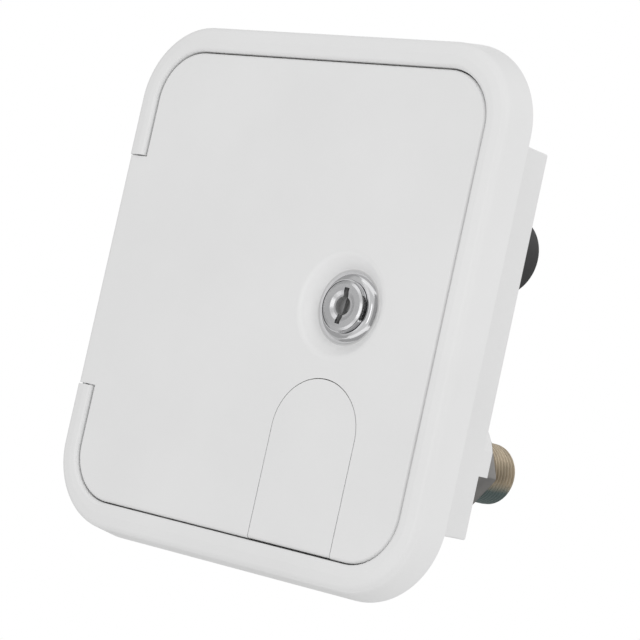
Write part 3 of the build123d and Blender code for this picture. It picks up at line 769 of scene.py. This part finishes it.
class HATCH_OT_inlet_body(Operator):
    """Build the brass inlet with its hexagon and its wound pipe thread"""
    bl_idname = "hatch.inlet_body"
    bl_label = "Threaded inlet"

    def execute(self, context):
        sizes = context.scene.hatch_inlet
        colours = context.scene.hatch_colours
        end = inlet_high.y
        hex_back = end - sizes.thread_length
        hex_front = gasket_back
        nose_front = inlet_low.y
        nose_back = nose_front + nose_flange_t
        shank_front = nose_back + nose_l
        root_r = sizes.thread_r - sizes.thread_depth
        core = turned(
            "core",
            [(bore_r, nose_front), (nose_flange_r, nose_front), (nose_flange_r, nose_back),
             (nose_r, nose_back), (nose_r, shank_front), (shank_r, shank_front),
             (shank_r, hex_front + lap), (root_r, hex_back - 2 * lap), (root_r, end - 2 * hair),
             (root_r - 2 * hair, end), (chamber_r, end),
             (chamber_r, valve_seat), (bore_r, valve_seat)],
            inlet_x, inlet_z, sizes.sides,
        )
        hexagon = hexagonal_shell(sizes, hex_front, hex_back, chamber_r + lap, inlet_x, inlet_z)
        ridge = helical_ridge(sizes, hex_back - hair, end, inlet_x, inlet_z)
        # The thread's underside gets a painted dark reflection below the inlet's axis
        brass = metal(
            "Turned brass", colours.brass, roughness=0.30, tarnish=0.25,
            dark_reflection_from=inlet_z - dark_reflection_drop,
        )
        plated = metal("Dull plating", colours.nickel, roughness=0.38, tarnish=0.15)
        core.data.materials.append(brass)
        core.data.materials.append(plated)
        hexagon.data.materials.append(plated)
        ridge.data.materials.append(brass)
        for face in core.data.polygons:
            face.material_index = int(face.center.y < hex_back)
        piece = joined("threaded_inlet", [core, hexagon, ridge])
        bpy.ops.object.shade_smooth_by_angle(angle=smooth_angle)
        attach(piece, "housing")
        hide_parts("inlet_body")
        return {"FINISHED"}


class HATCH_OT_brass_fittings(Operator):
    """Finish the hose swivel and the inlet's lock-nut as turned brass"""
    bl_idname = "hatch.brass_fittings"
    bl_label = "Brass fittings"

    def execute(self, context):
        colours = context.scene.hatch_colours
        finish = metal("Ringed brass", colours.brass, roughness=0.26, tarnish=0.18, rings=1400.0)
        dress("swivel_collar", finish)
        dress("inlet_locknut", finish)
        return {"FINISHED"}


class HATCH_OT_fill_fittings(Operator):
    """Finish the gravity fill spout and its cap as black moulded plastic"""
    bl_idname = "hatch.fill_fittings"
    bl_label = "Fill spout and cap"

    def execute(self, context):
        colours = context.scene.hatch_colours
        finish = plastic(
            "Black moulded plastic", colours.black, roughness=0.5, grain=1200.0, strength=0.3
        )
        dress("fill_spout", finish)
        dress("fill_cap", finish)
        return {"FINISHED"}


class HATCH_OT_small_parts(Operator):
    """Wind the valve's spring and finish the pins, screws, strainer, valve and seals"""
    bl_idname = "hatch.small_parts"
    bl_label = "Pins, valve and seals"

    def execute(self, context):
        colours = context.scene.hatch_colours
        bright = metal("Drawn stainless", colours.steel, roughness=0.28, tarnish=0.08)
        soft = plastic("Black rubber", colours.rubber, roughness=0.7, grain=900.0, strength=0.4)
        valve = plastic(
            "Natural acetal", colours.acetal, roughness=0.42, grain=1500.0, strength=0.1
        )
        mean_r = (spring_high.x - spring_low.x) / 2 - spring_wire_r
        spring = coil_spring(
            "valve_spring", spring_low.y, spring_high.y, mean_r, spring_wire_r, spring_turns,
            inlet_x, inlet_z,
        )
        spring.data.materials.append(bright)
        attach(spring, "housing")
        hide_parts("check_spring")
        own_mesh(spring)
        for node in ("hinge_pins", "flap_pin", "strainer", "fill_screws"):
            dress(node, bright)
        seals = (
            "door_seal", "inlet_gasket", "hose_washer", "check_seal", "fill_gasket", "cap_o_ring",
        )
        for node in seals:
            dress(node, soft)
        for node in ("check_poppet", "spring_retainer"):
            dress(node, valve)
        return {"FINISHED"}


# Stage
def aim(obj, target):
    """Points a lamp or camera at a place."""
    obj.rotation_euler = (Vector(target) - obj.location).to_track_quat("-Z", "Y").to_euler()


def soft_light(name, place, target, size, power):
    """A round soft light that the camera doesn't see."""
    clear_selection()
    bpy.ops.object.light_add(type="AREA", location=place)
    lamp = bpy.context.object
    lamp.name = name
    lamp.data.shape = "DISK"
    lamp.data.size = size
    lamp.data.energy = power
    lamp.visible_camera = False
    aim(lamp, target)
    return lamp


def grey_card(name, place, target, width, height, level):
    """A matt card beside the set that only gloss shows, to shape the metal."""
    clear_selection()
    bpy.ops.mesh.primitive_plane_add(size=1, location=place)
    card = bpy.context.object
    card.name = name
    card.scale = (width, height, 1)
    aim(card, target)
    made, tree, output = bare_material(name)
    glow = add_node(tree, "ShaderNodeEmission", Color=(1, 1, 1, 1), Strength=level)
    tree.links.new(glow.outputs[0], output.inputs["Surface"])
    card.data.materials.append(made)
    card.visible_camera = False
    card.visible_diffuse = False
    card.visible_transmission = False
    card.visible_shadow = False
    return card


def seen_white(tree):
    """A mask that is 1 on the rays that see the background: camera, glossy and transmission."""
    path = tree.nodes.new("ShaderNodeLightPath")
    first = add_node(tree, "ShaderNodeMath", operation="MAXIMUM")
    second = add_node(tree, "ShaderNodeMath", operation="MAXIMUM")
    tree.links.new(path.outputs["Is Camera Ray"], first.inputs[0])
    tree.links.new(path.outputs["Is Glossy Ray"], first.inputs[1])
    tree.links.new(first.outputs[0], second.inputs[0])
    tree.links.new(path.outputs["Is Transmission Ray"], second.inputs[1])
    return second.outputs[0]


def studio_world(scene, ambient):
    """An even room that lights the hatch and is plain white where it is seen."""
    world = bpy.data.worlds.new("Studio")
    scene.world = world
    world.use_nodes = True
    tree = world.node_tree
    tree.nodes.clear()
    output = tree.nodes.new("ShaderNodeOutputWorld")
    room = add_node(tree, "ShaderNodeBackground", Color=(1, 1, 1, 1), Strength=ambient)
    paper = add_node(tree, "ShaderNodeBackground", Color=(1, 1, 1, 1), Strength=1.0)
    mix = tree.nodes.new("ShaderNodeMixShader")
    tree.links.new(seen_white(tree), mix.inputs[0])
    tree.links.new(room.outputs[0], mix.inputs[1])
    tree.links.new(paper.outputs[0], mix.inputs[2])
    tree.links.new(mix.outputs[0], output.inputs["Surface"])


def floor_paper():
    """White floor that keeps the object's shadow near it and turns plain white towards its rim."""
    made, tree, output = bare_material("Floor paper")
    paper = add_node(tree, "ShaderNodeBsdfDiffuse", Color=(floor_grey, floor_grey, floor_grey, 1))
    white = add_node(tree, "ShaderNodeEmission", Color=(1, 1, 1, 1), Strength=1.0)
    coords = tree.nodes.new("ShaderNodeTexCoord")
    distance = add_node(tree, "ShaderNodeVectorMath", operation="LENGTH")
    flat = add_node(tree, "ShaderNodeMapping", Scale=(1, 1, 0))
    tree.links.new(coords.outputs["Object"], flat.inputs["Vector"])
    tree.links.new(flat.outputs["Vector"], distance.inputs[0])
    fade = add_node(
        tree, "ShaderNodeMapRange", interpolation_type="SMOOTHSTEP",
        From_Min=paper_r, From_Max=white_r, To_Min=white_share,
    )
    tree.links.new(distance.outputs["Value"], fade.inputs["Value"])
    both = add_node(tree, "ShaderNodeMath", operation="MULTIPLY")
    tree.links.new(seen_white(tree), both.inputs[0])
    tree.links.new(fade.outputs["Result"], both.inputs[1])
    mix = tree.nodes.new("ShaderNodeMixShader")
    tree.links.new(both.outputs[0], mix.inputs[0])
    tree.links.new(paper.outputs[0], mix.inputs[1])
    tree.links.new(white.outputs[0], mix.inputs[2])
    tree.links.new(mix.outputs[0], output.inputs["Surface"])
    return made


class HATCH_OT_stage(Operator):
    """Set the floor, the studio light and the camera"""
    bl_idname = "hatch.stage"
    bl_label = "Stage"

    def execute(self, context):
        settings = context.scene.hatch_stage
        scene = context.scene
        scene.view_settings.view_transform = "Standard"
        studio_world(scene, settings.ambient)
        clear_selection()
        floor_z = cad_box[0][2] - settings.floor_drop
        bpy.ops.mesh.primitive_circle_add(
            vertices=floor_sides, radius=floor_r, fill_type="NGON", location=(0, 0, floor_z)
        )
        floor = bpy.context.object
        floor.name = "floor"
        settle(floor)
        floor.data.materials.append(floor_paper())
        for name, (place, target, width, height, level) in standing_cards.items():
            grey_card(name, place, target, width, height, level)
        for name, (x, y, rise, width, length, level) in lying_cards.items():
            place = (x, y, floor_z + rise)
            grey_card(name, place, (x, y, 0.0), width, length, level)
        soft_light("key", key_place, light_target, key_size, settings.key_power)
        soft_light("fill", fill_place, light_target, fill_size, settings.fill_power)
        clear_selection()
        bpy.ops.object.camera_add(location=camera_place)
        camera = bpy.context.object
        camera.name = "camera"
        back = -Vector(camera_forward).normalized()
        up = back.cross(Vector(camera_right)).normalized()
        right = up.cross(back)
        camera.rotation_euler = Matrix((right, up, back)).transposed().to_euler()
        camera.data.sensor_width = film_mm
        camera.data.sensor_height = film_mm
        camera.data.lens = settings.lens
        camera.data.clip_start = near_clip
        scene.camera = camera
        return {"FINISHED"}


# Sidebar and registration
class HATCH_PT_sidebar(Panel):
    """The hatch's pieces and its stage"""
    bl_label = "Water inlet"
    bl_idname = "HATCH_PT_sidebar"
    bl_space_type = "VIEW_3D"
    bl_region_type = "UI"
    bl_category = "Water inlet"

    def draw(self, context):
        scene = context.scene
        for group in (scene.hatch_colours, scene.hatch_inlet, scene.hatch_stage):
            column = self.layout.column()
            for key in group.bl_rna.properties.keys():
                if key not in ("rna_type", "name"):
                    column.prop(group, key)
        for operator in operators:
            self.layout.operator(operator.bl_idname)


operators = (
    HATCH_OT_white_mouldings, HATCH_OT_lock, HATCH_OT_inlet_body, HATCH_OT_brass_fittings,
    HATCH_OT_fill_fittings, HATCH_OT_small_parts, HATCH_OT_stage,
)
groups = {"hatch_colours": HatchColours, "hatch_inlet": InletSizes, "hatch_stage": StageSettings}
classes = tuple(groups.values()) + operators + (HATCH_PT_sidebar,)


def register():
    for one in classes:
        bpy.utils.register_class(one)
    for key, group in groups.items():
        setattr(bpy.types.Scene, key, PointerProperty(type=group))


def unregister():
    for key in groups:
        delattr(bpy.types.Scene, key)
    for one in reversed(classes):
        bpy.utils.unregister_class(one)


def main():
    """Registers the hatch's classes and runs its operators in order."""
    register()
    bpy.ops.hatch.white_mouldings()
    bpy.ops.hatch.lock()
    bpy.ops.hatch.inlet_body()
    bpy.ops.hatch.brass_fittings()
    bpy.ops.hatch.fill_fittings()
    bpy.ops.hatch.small_parts()
    bpy.ops.hatch.stage()


if __name__ == "__main__":
    main()
